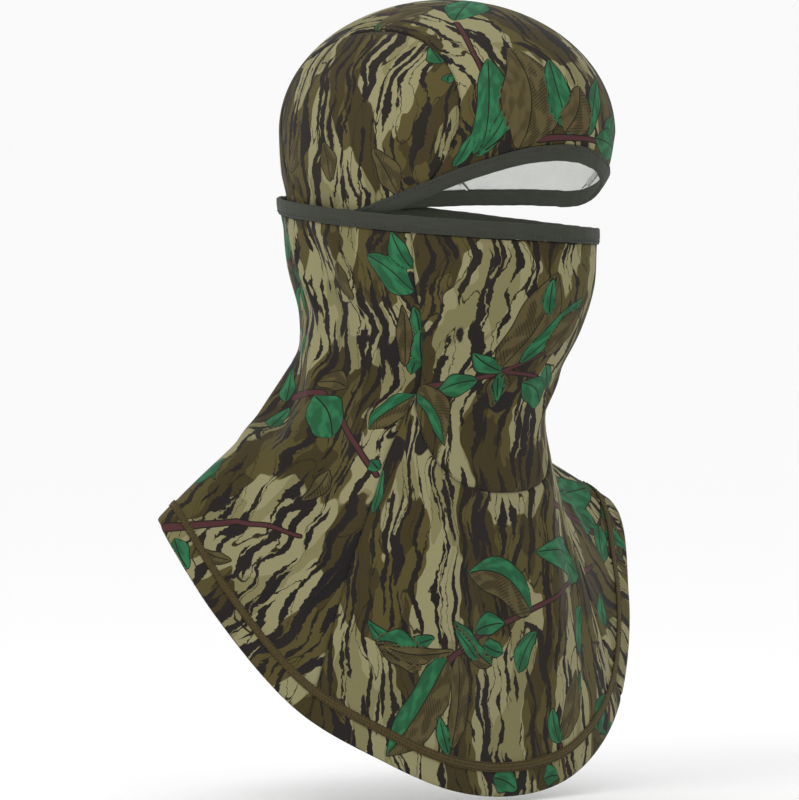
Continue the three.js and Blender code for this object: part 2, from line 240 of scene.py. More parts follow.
class Value:
    """A socket of a shader tree, for arithmetic between sockets and numbers."""

    def __init__(self, tree, socket):
        self.tree, self.socket = tree, socket

    def node(self, kind, settings=(), inputs=(), output=0):
        made = self.tree.nodes.new(kind)
        for key, value in dict(settings).items():
            setattr(made, key, value)
        for key, value in dict(inputs).items():
            if isinstance(value, Value):
                self.tree.links.new(value.socket, made.inputs[key])
            else:
                made.inputs[key].default_value = value
        return Value(self.tree, made.outputs[output])

    def math(self, operation, *others):
        inputs = dict(enumerate((self, *others)))
        return self.node("ShaderNodeMath", {"operation": operation}, inputs)

    def __add__(self, other):
        return self.math("ADD", other)

    def __sub__(self, other):
        return self.math("SUBTRACT", other)

    def __rsub__(self, other):
        return (self * -1.0) + other

    def __mul__(self, other):
        return self.math("MULTIPLY", other)

    def __abs__(self):
        return self.math("ABSOLUTE")

    __radd__ = __add__
    __rmul__ = __mul__

    def above(self, edge, width):
        """0 below edge, 1 above it, over a narrow width."""
        return self.node("ShaderNodeMapRange", {"interpolation_type": "SMOOTHSTEP"}, {
            "Value": self, "From Min": edge - width / 2, "From Max": edge + width / 2})

    def below(self, edge, width):
        return 1.0 - self.above(edge, width)

    def vector(self, y=0.0, z=0.0):
        return self.node("ShaderNodeCombineXYZ", {}, {"X": self, "Y": y, "Z": z})

    def noise(self, detail=2.0, output=0):
        return self.node("ShaderNodeTexNoise", {"noise_dimensions": "3D"}, {
            "Vector": self, "Scale": 1.0, "Detail": detail, "Roughness": 0.55}, output)

    def mix(self, first, second):
        """Colour first where this is 0 and second where it is 1."""
        made = self.tree.nodes.new("ShaderNodeMix")
        made.data_type = "RGBA"
        self.tree.links.new(self.socket, made.inputs[0])
        for socket, colour in ((made.inputs[6], first), (made.inputs[7], second)):
            if isinstance(colour, Value):
                self.tree.links.new(colour.socket, socket)
            else:
                socket.default_value = colour
        return Value(self.tree, made.outputs[2])


def ink(code):
    """Linear colour of a hex code."""
    parts = [int(code[k:k + 2], 16) / 255 for k in (0, 2, 4)]
    return (*[c / 12.92 if c < 0.04045 else ((c + 0.055) / 1.055) ** 2.4 for c in parts], 1)


def new_material(name, roughness, sheen, specular):
    """A cloth material, its shader, and the place on the cloth in millimetres."""
    material = bpy.data.materials.new(name)
    material.use_nodes = True
    shader = material.node_tree.nodes["Principled BSDF"]
    shader.inputs["Roughness"].default_value = roughness
    shader.inputs["Sheen Weight"].default_value = sheen
    shader.inputs["Sheen Roughness"].default_value = 0.5
    shader.inputs["Specular IOR Level"].default_value = specular
    cloth = material.node_tree.nodes.new("ShaderNodeUVMap")
    cloth.uv_map = "cloth"
    place = Value(material.node_tree, cloth.outputs[0])
    u = place.node("ShaderNodeSeparateXYZ", {}, {0: place}, 0) * 1000.0
    v = place.node("ShaderNodeSeparateXYZ", {}, {0: place}, 1) * 1000.0
    return material, shader, u, v


def paint(material, shader, colour, relief, strength, depth):
    """Gives a material its colour and the relief of its threads, depth in metres."""
    links = material.node_tree.links
    links.new(colour.socket, shader.inputs["Base Color"])
    bump = material.node_tree.nodes.new("ShaderNodeBump")
    bump.inputs["Strength"].default_value = strength
    bump.inputs["Distance"].default_value = depth
    links.new(relief.socket, bump.inputs["Height"])
    links.new(bump.outputs[0], shader.inputs["Normal"])


def attribute(u, name):
    made = u.tree.nodes.new("ShaderNodeAttribute")
    made.attribute_name = name
    return Value(u.tree, made.outputs["Fac"])


# The print: long olive and khaki flakes of bark, dark furrows, then twigs and leaves over them.
camo, camo_shader, u, v = new_material("camo_knit", 0.8, sheen=0.03, specular=0.12)
sway = (u * 0.024).vector(v * 0.014).noise(1.0, 1)
sway_u = sway.node("ShaderNodeSeparateColor", {}, {0: sway}, 0) - 0.5
sway_v = sway.node("ShaderNodeSeparateColor", {}, {0: sway}, 1) - 0.5
lobes = (u * 0.16).vector(v * 0.09, 7.0).noise(0.0) - 0.5
bu = u + sway_u * 30.0 + lobes * 9.0
bv = v + sway_v * 40.0 + lobes * 16.0
flake = (bu * 0.037).vector(bv * 0.0130, 3.0).noise(0.0)
tone = (bu * 0.058).vector(bv * 0.019, 11.0).noise(0.0)
knobs = (u * 0.42).vector(v * 0.30, 19.0).noise(1.5) - 0.5
wander = (u * 0.035).vector(v * 0.045, 29.0).noise(0.0) - 0.5
fu = u + wander * 16.0 + knobs * 3.2
knot = (u * 0.17).vector(v * 0.12, 61.0).noise(0.0) - 0.5
khaki = tone.above(0.56, 0.01).mix(ink("888360"), ink("77724e"))
olive = tone.above(0.50, 0.01).mix(ink("4d4524"), ink("393119"))
bark = flake.above(0.5, 0.008).mix(olive, khaki)


def furrows(lane_width, shift, share, depth):
    """1 in broken dark lines that run down the bark, one in each lane of the cloth."""
    at = (fu + shift) * (1 / lane_width)
    lane = at.math("FLOOR")
    reach = (lane * 7.31).vector(v * 0.030, shift).noise(1.0)
    half = (reach - share) * depth + knot * 2.4
    return (abs(at - lane - 0.5) * lane_width - half).below(0.0, 0.3)


wide = abs((fu * 0.084).vector(v * 0.0095, v * 0.012 + 23.0).noise(0.0) - 0.5)
hair = abs((fu * 0.10).vector(v * 0.013, v * 0.016 + 83.0).noise(0.0) - 0.5)
reach = (u * 0.05).vector(v * 0.028, 31.0).noise(0.0)
hollow = (wide - (reach - 0.52) * 0.34).below(0.0, 0.010)
bark = hair.below(0.009, 0.006).mix(bark, ink("2a2417"))
bark = furrows(11.5, 3.0, 0.41, 10.0).mix(bark, ink("1b1719"))
bark = furrows(16.0, 48.0, 0.42, 10.5).mix(bark, ink("1d1918"))
bark = hollow.mix(bark, ink("1d191b"))
twig = attribute(u, "twig_edge")
bark = twig.below(0.7, 0.3).mix(bark, ink("1a1413"))
bark = twig.below(0.0, 0.3).mix(bark, ink("4a282c"))
edge, along = attribute(u, "leaf_edge"), attribute(u, "leaf_along")
across, leaf_tone = attribute(u, "leaf_across"), attribute(u, "leaf_tone")
hatch = abs(((along - abs(across) * 0.9) * 1.5).math("SINE")).below(0.3, 0.15)
shaded = across.above(0.0, 0.3)
gloss = (along * 0.09).vector(across * 0.2, 13.0).noise(1.0)
green = gloss.above(0.52, 0.2).mix(ink("1b5235"), ink("286b46"))
brown = gloss.above(0.5, 0.2).mix(ink("52492d"), ink("413921"))
brown = (hatch * shaded * gloss.above(0.45, 0.06)).mix(brown, ink("1d1a13"))
half = leaf_tone.above(1.5, 0.1) * shaded
leaf = (leaf_tone.above(0.5, 0.1) * leaf_tone.below(1.5, 0.1) + half).mix(green, brown)
leaf = (abs(across).below(0.34, 0.3) * edge.below(-0.9, 0.5)).mix(leaf, ink("141912"))
bark = edge.below(0.62, 0.3).mix(bark, ink("151610"))
bark = edge.below(0.0, 0.3).mix(bark, leaf)
faded = ((u * 0.012).vector(v * 0.012, 41.0).noise(2.0) - 0.5) * 0.20 + 0.05
faded = faded.mix(bark, ink("554e32"))
wales = (u * 7.4).math("SINE") * 0.5 + (v * 6.1).math("SINE") * 0.5
pile = (u * 1.7).vector(v * 1.7, 5.0).noise(2.0)
paint(camo, camo_shader, faded, wales * 0.4 + pile * 0.6, 0.35, 0.00025)

# Brushed back of the knit: short white pile.
lining, lining_shader, u, v = new_material("brushed_lining", 0.95, sheen=0.5, specular=0.1)
pile = (u * 0.9).vector(v * 0.9, 2.0).noise(4.0)
tint = (u * 0.05).vector(v * 0.05, 9.0).noise(2.0)
white = (pile * 0.5 + tint * 0.5).mix(ink("bfc1be"), ink("e2e3e1"))
paint(lining, lining_shader, white, pile, 0.5, 0.0006)


def knit_panel(name, grid, uv, leaves, twigs, body, stands_for):
    """Finishes a panel: the print on the outer face and the brushed back inside."""
    panel = grid_piece(name, grid, uv)
    leaf_print(panel, uv, leaves, twigs)
    panel.data.materials.append(camo)
    panel.data.materials.append(lining)
    thick = panel.modifiers.new("knit", "SOLIDIFY")
    thick.thickness = KNIT / 1000
    thick.offset = -1
    thick.material_offset = 1
    thick.use_even_offset = False
    if body == "falls":
        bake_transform(panel)
    else:
        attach(panel, body)
    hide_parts(*stands_for)
    return panel


def seam_line(offset_u):
    """Distance from the middle of the cap to a crown seam or a plane between, by height."""
    return lambda height: offset_u * (63 - math.tan(10 * DEGREE) * (height - 20))


def crown_section(share):
    """Line from brow to nape where a leaning plane cuts the cap; share -1 and 1 are the seams."""
    plane = seam_line(share)
    heights = np.linspace(-8, 45, 60)
    top, ceiling = 45.0, 115.0
    for step in range(40):                       # highest point of the cap on this plane
        trial = (top + ceiling) / 2
        rise = (trial - 45) / 70
        if abs(plane(trial)) < 78 * math.sqrt(1 - rise * rise):
            top = trial
        else:
            ceiling = trial
    dome = 45 + (top - 45) * np.sin(np.linspace(0, math.pi / 2, 70))[1:]
    heights = np.concatenate([heights, dome])
    ring = smooth_through(HEAD_RINGS[:, 0], HEAD_RINGS[:, 1:], np.minimum(heights, 45))
    shrink = np.sqrt(1 - (np.clip(heights - 45, 0, 70) / 70) ** 2)
    sine = np.clip(plane(heights) / np.maximum(ring[:, 0] * shrink, 1e-6), -1, 1)
    front = np.arcsin(sine)
    azimuth = np.concatenate([front, (math.pi - front)[::-1]])
    height = np.concatenate([heights, heights[::-1]])
    above = height - (cap_rim(azimuth) + BINDING - 0.6)
    keep = np.flatnonzero(above > 0)
    first, last = keep[0], keep[-1]
    t0 = above[first - 1] / (above[first - 1] - above[first])
    t1 = above[last + 1] / (above[last + 1] - above[last])
    line = head_point(azimuth, height, 0)
    start = line[first - 1] + t0 * (line[first] - line[first - 1])
    end = line[last + 1] + t1 * (line[last] - line[last + 1])
    return np.concatenate([[start], line[first:last + 1], [end]])


def spaced(line, count):
    length = np.concatenate([[0], np.cumsum(np.linalg.norm(np.diff(line, axis=0), axis=1))])
    at = np.linspace(0, length[-1], count)
    return np.stack([np.interp(at, length, line[:, k]) for k in range(3)], -1)


def rolled(grid, edges):
    """Turns the cloth in beside a seam: edges are the grid sides that are sewn."""
    rows, columns = arcs(grid)
    normal = outward(grid)
    dip = np.zeros(grid.shape[:2])
    distances = {"first": rows, "last": rows[-1:] - rows,
                 "top": columns, "bottom": columns[:, -1:] - columns}
    for side in edges:
        dip = np.maximum(dip, 1.0 * np.exp(-(distances[side] / 1.4) ** 2))
    return grid - normal * dip[..., None]


shares = np.sin(np.linspace(-1, 1, 82) * 0.8) / math.sin(0.8) * 0.9996
crown = np.stack([spaced(crown_section(s), 210) for s in shares])
rows, columns = arcs(crown)
crown_uv = np.stack([rows - rows[41:42] + 300, -columns + 120], -1)
crown = rolled(crown, ["first", "last"])
# Leaves of the print: place, angle, length, width, curl, tone; twigs: their path and thickness.
CROWN_LEAVES = [
    (239.2, 115.9, -67, 56.5, 20, -0.15, 0), (239.8, 113.2, -51, 35, 8.3, 0.2, 0),
    (225.5, 116, -61, 19.9, 9.8, 0.1, 0), (268.6, 25.1, -42, 54.4, 18.2, 0, 0),
    (262.5, 118.6, -79, 60.2, 35.1, 0.25, 1), (290.3, 114, -85, 43.5, 15.9, -0.3, 0),
    (304.9, 112.5, -91, 23.9, 7.1, 0.2, 0), (304.9, 112.5, -57, 46.5, 8.8, -0.2, 0),
    (318.7, 112.6, -45, 35.2, 12.8, 0.2, 0), (313.4, 112.6, -9, 42.2, 15.1, 0, 0),
    (288.7, 112.6, -60, 31.3, 18.5, 0.3, 1),
]
CROWN_TWIGS = [
    ([(273.6, 115.6), (295.1, 115.5), (328.1, 112.7)], 1.6),
    ([(267.1, 28.3), (256.8, 55.4), (252, 76.2), (249.9, 93.9), (251.9, 110.3)], 1),
]
leaves, twigs = sprigs(3, (210, -230), (390, 130), (62, 66), (CROWN_LEAVES, CROWN_TWIGS),
                       lambda u, v: v < 5 or u > 345)
knit_panel("crown_centre_panel_knit", crown, crown_uv, leaves, twigs, "cap",
           ["crown_centre_panel"])

# ---- Crown side panels --------------------------------------------------------------------
# Two near-oval panels over the ears, cut from the same print and sewn to the centre panel with
# an overlocked seam that shows outside as a narrow groove.

EAR_LEAVES = [
    (-101.6, 471.9, 91, 5.2, 7.7, -0.9, 0), (-92.7, 483.8, 41, 16.6, 10.9, 0, 0),
    (-78, 411.1, 56, 29.6, 12.8, 0.2, 1), (9.9, 421.9, 114, 29.9, 10.9, 0.2, 1),
    (-31.8, 418.1, 73, 22, 11.7, 0.2, 1),
]
for side, word, seed in ((-1, "right", 11), (1, "left", 12)):
    top = crown_section(0.9999)[:, 2].max() - 0.4
    i = np.linspace(0, 1, 96)[:, None]
    j = np.linspace(0, 1, 62)[None, :]

    def side_azimuth(height):
        ring = smooth_through(HEAD_RINGS[:, 0], HEAD_RINGS[:, 1:], np.minimum(height, 45))
        shrink = np.sqrt(1 - (np.clip(height - 45, 0, 70) / 70) ** 2)
        front = np.arcsin(np.clip(seam_line(1.0004)(height) / (ring[..., 0] * shrink), -1, 1))
        return side * (front + i * (math.pi - 2 * front))

    low = np.full((96, 1), 6.0)
    for step in range(12):
        low = cap_rim(side_azimuth(low)) + BINDING - 0.6
    height = top - (top - low) * np.cos(j * math.pi / 2)
    ear = head_point(side_azimuth(height), height, 0)
    rows, columns = arcs(ear)
    climb = np.interp(height, height[48], columns[48])
    ear_uv = np.stack([rows - rows[48:49], climb], -1) + [40 * side, 400]
    ear = rolled(ear, ["first", "last", "bottom"])
    leaves, twigs = sprigs(seed, (-60 + 40 * side, 400), (60 + 40 * side, 520), (60, 62),
                           (EAR_LEAVES if side < 0 else (), ()),
                           lambda u, v: side > 0 or u > -20)
    knit_panel(f"crown_side_panel_{word}_knit", ear, ear_uv, leaves, twigs, "cap",
               [f"crown_side_panel_{word}"])

# ---- Face panel ---------------------------------------------------------------------------
# The front of the mask from under the eyes to below the chin, one piece between the two cheek
# seams that ends in a U under the chin.

HEM = np.array([[0, -48, -305], [42.9, -45.5, -299.5], [82, -35, -283], [122, -13, -256],
                [154.5, 14, -207], [169, 43, -158], [135.2, 73, -165], [82.8, 107, -176],
                [0, 122, -182]], float)
HEM = np.concatenate([HEM, HEM[-2:0:-1] * [-1, 1, 1]])


def through(points, at):
    """Centripetal curve through points (count, n, 3), at a place counted in points."""
    k = np.clip(np.floor(at).astype(int), 0, len(points) - 4)
    t = (at - k)[:, None]
    n = np.arange(points.shape[1])
    p0, p1, p2, p3 = (points[k + m, n] for m in range(4))
    d0, d1, d2 = (np.maximum(np.linalg.norm(q - p, axis=1), 1e-9)[:, None] ** 0.5
                  for p, q in ((p0, p1), (p1, p2), (p2, p3)))
    m1 = ((p1 - p0) / d0 - (p2 - p0) / (d0 + d1) + (p2 - p1) / d1) * d1
    m2 = ((p2 - p1) / d1 - (p3 - p1) / (d1 + d2) + (p3 - p2) / d2) * d1
    return (p1 * (2 * t**3 - 3 * t**2 + 1) + p2 * (3 * t**2 - 2 * t**3)
            + m1 * (t**3 - 2 * t**2 + t) + m2 * (t**3 - t**2))


def mask_rim(azimuth):
    """Height of the mask's upper edge, higher behind and on the wearer's right."""
    return -3 + 12 * ((1 - np.cos(azimuth)) / 2) ** 1.6 - 4.6 * np.sin(azimuth)


def ridge_at(azimuth, down, a0, d0, a1, d1, width, height):
    """A soft ridge of cloth along a line between two places, wider than it is high."""
    ax, dx = (azimuth - a0 * DEGREE) * 78, (down - d0) * 350
    bx, by = (a1 - a0) * DEGREE * 78, (d1 - d0) * 350
    s = np.clip((ax * bx + dx * by) / (bx * bx + by * by), 0, 1)
    away = np.hypot(ax - s * bx, dx - s * by)
    ends = np.sin(math.pi * np.clip(s * 0.9 + 0.05, 0, 1)) ** 0.6
    return 1.9 * height * np.exp(-(away / width) ** 2) * ends


# Folds of the worn mask: azimuth and place down the cloth of both ends, width, height.
FOLDS = [
    (-96, 0.03, -88, 0.20, 4.5, 1.5), (-108, 0.02, -101, 0.24, 5.0, -1.2),
    (-122, 0.03, -112, 0.26, 6.0, 1.6),     (-84, 0.05, -76, 0.18, 4.5, -1.0),
    (-138, 0.05, -128, 0.30, 7.0, -1.5),
    (-152, 0.04, -148, 0.30, 8.0, 1.6),     (-118, 0.30, -88, 0.52, 8.0, 2.4),
    (-132, 0.36, -100, 0.60, 8.0, -2.0),
    (-146, 0.38, -118, 0.64, 9.0, 2.4),     (-100, 0.50, -86, 0.80, 10.0, 2.2),
    (-82, 0.46, -70, 0.74, 8.0, -1.8),
    (-66, 0.44, -52, 0.66, 7.0, 1.6),     (118, 0.30, 88, 0.52, 8.0, 2.2),
    (134, 0.34, 102, 0.60, 8.0, -2.0),
    (96, 0.48, 84, 0.80, 10.0, 2.2),     (104, 0.03, 98, 0.22, 6.0, 1.4),
    (128, 0.03, 120, 0.26, 6.0, -1.3),
    (76, 0.44, 66, 0.70, 8.0, -1.6),     (-40, 0.40, -16, 0.53, 6.0, 1.0),
    (38, 0.38, 20, 0.52, 6.0, 1.0),
    (-30, 0.62, -22, 0.92, 10.0, 1.6),     (26, 0.62, 22, 0.94, 11.0, 1.8),
    (-8, 0.66, -6, 0.96, 9.0, -1.4),
    (48, 0.60, 46, 0.9, 9.0, -1.5),     (170, 0.45, 176, 0.75, 10.0, 2.0),
    (-168, 0.46, -172, 0.80, 10.0, -1.8), (150, 0.5, 140, 0.85, 10.0, 2.0),
]


def mask_point(azimuth, down, offset=0.0):
    """Point of the mask: down is 0 at its binding, 0.5 at the neck and 1 at the hem."""
    azimuth, down = np.broadcast_arrays(azimuth, down)
    shape = azimuth.shape
    az, dn = azimuth.ravel().astype(float), np.clip(down.ravel().astype(float), 0, 1)
    start = mask_rim(az) - BINDING
    points = [head_point(az, start + (-105 - start) * k / 4, MASK_OFFSET) for k in range(5)]
    neck = points[4]
    turn = (az / (2 * math.pi)) % 1 * 16
    ring = np.repeat(np.concatenate([HEM[-1:], HEM, HEM[:3]])[:, None], len(az), axis=1)
    hem = through(ring, turn)
    flare = 0.35 - 0.27 * np.sin(az) ** 2
    for k in range(1, 5):
        s = k / 4
        out = s + flare * (math.sin(s * math.pi / 2) - s)
        drop = s + flare * (1 - math.cos(s * math.pi / 2) - s)
        hollow = 4 * math.sin(s * math.pi) * np.maximum(np.cos(az), 0)
        points.append(np.stack([
            neck[:, 0] + (hem[:, 0] - neck[:, 0]) * out,
            neck[:, 1] + (hem[:, 1] - neck[:, 1]) * out + hollow,
            neck[:, 2] + (hem[:, 2] - neck[:, 2]) * drop], -1))
    fall = np.stack([2 * points[0] - points[1], *points, 2 * points[-1] - points[-2]])
    return through(fall, dn * 8).reshape(*shape, 3)


def draped(azimuth, down, depth=0.0):
    """The mask's cloth with its folds, at a depth under its outer face."""
    step = 0.003
    here = mask_point(azimuth, down)
    aside = mask_point(azimuth + step, down) - mask_point(azimuth - step, down)
    low = np.clip(down - step, 0, 1 - 2 * step)
    fall = mask_point(azimuth, low + 2 * step) - mask_point(azimuth, low)
    normal = np.cross(fall, aside)
    normal /= np.linalg.norm(normal, axis=-1, keepdims=True)
    inward = np.sum(normal[..., :2] * here[..., :2], axis=-1, keepdims=True) < 0
    normal = np.where(inward, -normal, normal)
    lift = np.zeros(np.broadcast(azimuth, down).shape)
    turned = (azimuth + math.pi) % (2 * math.pi) - math.pi
    for fold in FOLDS:
        lift = lift + ridge_at(turned, down, *fold)
    lift = lift * smoothstep(0.0, 0.03, down)
    return here + normal * (lift - depth)[..., None], normal


def seam_azimuth(down):
    """Azimuth of the cheek seam, and of the bib seam below the chin."""
    angles = np.array([[62.5], [61], [51.5], [56], [60], [65]]) * DEGREE
    return smooth_through([0, 0.25, 0.45, 0.615, 0.75, 1], angles, down)[..., 0]


def chin_down(across):
    return 0.45 + 0.18 * (1 - np.abs(across) ** 2.6)


SEAM_GAP = 0.06 / 78
across = np.linspace(-1, 1, 128)[:, None]
j = np.linspace(0, 1, 104)[None, :]
down = (chin_down(across) - 0.0002) * j
face, _ = draped(across * (seam_azimuth(down) - SEAM_GAP), down)
rows, columns = arcs(face)
face_uv = np.stack([rows - rows[64:65], -columns], -1)
face = rolled(face, ["first", "last", "bottom"])
# Leaves of the print: place, angle, length, width, curl, tone; twigs: their path and thickness.
FACE_LEAVES = [
    (-32.1, -80.1, -158, 21.4, 12.8, -0.3, 0), (-21.5, -74.4, -80, 23.1, 10.6, 0, 1),
    (-21.5, -74.4, 149, 21.7, 8.7, 0.2, 0), (-22.2, -76.9, -68, 17.9, 5, 0, 0),
    (-21.8, -71.8, 74, 57.9, 25.9, -0.12, 1), (-6.8, -38.5, 92, 18.9, 7.2, 0.2, 0),
    (-12.5, -68.6, 50, 51.3, 11.3, 0.18, 0), (2, -62.7, 57, 32.9, 16.2, 0.1, 1),
    (20.8, -82.8, 134, 19, 11, 0.1, 0), (19.2, -92.2, 158, 26.6, 16.2, -0.4, 0),
    (-78.7, -87.9, -46, 45.2, 21.1, 0.75, 2),
]
FACE_TWIGS = [
    ([(-62.9, -84.7), (-40.6, -81.7), (-24.2, -76.5), (-10.6, -68.7), (1, -61.4)], 1.5),
    ([(-20.6, -74.6), (1.8, -76.4), (30.1, -85.9)], 1.1),
]
leaves, twigs = sprigs(21, (-90, -190), (100, 20), (50, 60), (FACE_LEAVES, FACE_TWIGS),
                       lambda u, v: u > 42)
knit_panel("face_panel_knit", face, face_uv, leaves, twigs, "falls",
           ["face_panel"])

# ---- Front bib panel ----------------------------------------------------------------------
# The long bib that hangs over the chest from the chin seam to the hem, between the bib seams.
# Its edge is turned up inside and held by the coverstitch, so the last 18 mm stand a little proud.


def hem_swell(panel_columns):
    """The turned hem is three layers thick: it stands out near the edge, down to its fold."""
    from_edge = panel_columns[:, -1:] - panel_columns
    body = 0.55 * smoothstep(19.5, 17.5, from_edge)
    rows = (13.4, 17.8)
    groove = 0.35 * sum(np.exp(-((from_edge - row) / 1.1) ** 2) for row in rows)
    fold = -0.7 * np.exp(-(from_edge / 1.2) ** 2)
    return body - groove + fold


across = np.linspace(-1, 1, 170)[:, None]
j = np.linspace(0, 1, 124)[None, :]
top = chin_down(across) + 0.0002
down = top + (1 - top) * j
bib, normal = draped(across * (seam_azimuth(down) - SEAM_GAP), down)
rows, columns = arcs(bib)
bib_uv = np.stack([rows - rows[85:86] + 8, bib[..., 2] - 150], -1)
bib = rolled(bib + normal * hem_swell(columns)[..., None], ["first", "last", "top"])
# Leaves of the print: place, angle, length, width, curl, tone; twigs: their path and thickness.
BIB_LEAVES = [
    (-91.4, -303.8, 88, 23.6, 8.3, -0.1, 0), (-45.1, -369.5, 162, 44.9, 12, 0.8, 0),
    (-52.3, -383.4, 159, 32.9, 18.7, -0.5, 2), (-32.9, -376.6, 173, 47, 7.8, 0.3, 1),
    (-2.3, -385.5, 140, 39.2, 12.7, 0.15, 2), (-13.8, -381.9, 136, 24.7, 6.1, 0, 0),
    (-14.2, -367, 8, 21.2, 11.2, 0.2, 0), (-7.1, -374.5, -20, 13.3, 9, -0.2, 0),
    (26, -358.1, 158, 51.1, 22.1, -0.7, 2), (-37.2, -380.8, -131, 63.9, 25.3, 0.2, 2),
    (-29.2, -379, -98, 50.9, 14.2, 0.2, 1), (-36.4, -430.8, 105, 21, 7.1, 0.1, 0),
    (15.8, -389.6, 54, 24.8, 11.6, 0.3, 0), (104.3, -342, 170, 75.7, 20.5, -0.3, 0),
    (78.2, -382.5, 47, 31.7, 12.6, 0.2, 0), (46.6, -429, 106, 19.6, 10, 0.2, 0),
    (47.9, -427.3, 51, 45.7, 10.6, -0.2, 0), (50.7, -426.6, 62, 40.3, 17.3, -0.3, 1),
    (-5.1, -444.6, -25, 17.7, 15, 0.3, 0), (33, -447.4, 4, 11.9, 10.6, 0.3, 0),
    (89.7, -424.7, 36, 29.5, 11.1, 0.2, 0),
]
BIB_TWIGS = [
    ([(-51, -394), (-34.5, -380.2), (-13.1, -369.8), (8, -362.9), (29.5, -356.3), (60.5, -346.7),
      (101.1, -342.6)], 1.7),
    ([(48.1, -430.1), (50.7, -445.2)], 1.2),
    ([(51.4, -302.1), (84.6, -306.3)], 1.6),
]
leaves, twigs = sprigs(22, (-130, -470), (160, -230), (64, 58), (BIB_LEAVES, BIB_TWIGS),
                       lambda u, v: u > 108 and v < -300)
knit_panel("front_bib_panel_knit", bib, bib_uv, leaves, twigs, "neck_bib",
           ["front_bib_panel"])

# ---- Side and back panels -----------------------------------------------------------------
# Two large panels, each from a cheek seam round to the centre back and down over the shoulder to
# the hem. The knit is cut on one grain, so the bark of the print runs down towards the shoulder.

RIGHT_LEAVES = [
    (650.9, -31.1, 148, 30, 17.9, -0.35, 0), (653.2, -18.9, 117, 21.3, 10.9, 0.3, 0),
    (642.8, -77.5, 84, 38.2, 11.2, -0.15, 0), (647.9, -71.1, 89, 18.2, 9.8, 0.2, 0),
    (638.7, -73.5, 86, 33.8, 8.5, 0.1, 1), (649.8, -89.8, -121, 25.1, 19.3, -0.25, 2),
    (613.8, -118.3, 141, 32.6, 19.9, -0.4, 0), (548.8, -78.3, 70, 14.4, 8.1, 0, 0),
    (549, -105.5, 121, 23.9, 10.2, 0.1, 0), (586.2, -88.4, -7, 20.7, 11.2, 0.5, 1),
    (650.6, -134.2, 140, 8.2, 6.3, 0, 0), (576.9, -226.3, -20, 17.5, 12, -0.2, 0),
    (564.2, -124.5, 116, 19.4, 11, 0.2, 0), (609.4, -40.1, 96, 20.4, 11.6, 0.2, 1),
    (622.6, -137.4, -99, 23.5, 7.9, 0.3, 1), (608.4, -211.9, -164, 16.6, 6.8, 0.2, 1),
]
RIGHT_TWIGS = [
    ([(552.6, -101), (592.1, -94.1), (613.3, -107.1), (633.9, -122.5), (650.9, -137.5)], 1.9),
    ([(568.2, -228), (583.3, -206), (597.5, -189.2), (613, -184.1), (630.1, -179.3)], 1.8),
]
LEFT_LEAVES = [
    (626.2, -195.6, 144, 79, 20.5, -0.3, 0), (530.4, -225.5, 36, 23.9, 9.8, 0.1, 0),
    (597.5, -183.2, -86, 14.9, 10.7, 0.2, 0), (601.5, -205.9, -84, 17.8, 10, 0.2, 0),
]
LEFT_TWIGS = [
    ([(543.3, -192), (561.2, -198.1)], 1.7),
    ([(564.7, -161.4), (592, -195), (592, -218.4), (593.4, -224.1)], 1.6),
]
for side, word, seed, placed in ((-1, "right", 31, (RIGHT_LEAVES, RIGHT_TWIGS)),
                                 (1, "left", 32, (LEFT_LEAVES, LEFT_TWIGS))):
    i = np.linspace(0, 1, 210)[:, None]
    down = np.linspace(0, 1, 200)[None, :]
    front = seam_azimuth(down) + SEAM_GAP
    azimuth = side * (front + (math.pi - SEAM_GAP - front) * i)
    flank, normal = draped(azimuth, down)
    rows, columns = arcs(flank)
    flank_uv = np.stack([side * (rows - rows[60:61]) + 600, -columns], -1)
    flank = rolled(flank + normal * hem_swell(columns)[..., None], ["first", "last"])
    leaves, twigs = sprigs(seed, (380, -330), (850, 20), (66, 62), placed,
                           lambda u, v: u < 535 if side < 0 else u > 620)
    knit_panel(f"side_back_panel_{word}_knit", flank, flank_uv, leaves, twigs, "falls",
               [f"side_back_panel_{word}"])

# ---- Bindings -----------------------------------------------------------------------------
# Both rims are bound with a folded band of dull grey-green elastic, 8.7 mm high, with fine ribs
# along it. The cap's band arches over the eyes; the mask's band is pulled tight round the head.

elastic, elastic_shader, u, v = new_material("binding_elastic", 0.78, sheen=0.04, specular=0.2)
ribs = (v * 7.0).math("SINE")
picks = (u * 5.2).math("SINE")
mottle = (u * 0.08).vector(v * 0.5, 4.0).noise(3.0)
mottle = mottle.mix(ink("2c2e27"), ink("3a3d34"))
paint(elastic, elastic_shader, mottle, ribs * 0.6 + picks * 0.4, 0.4, 0.0002)


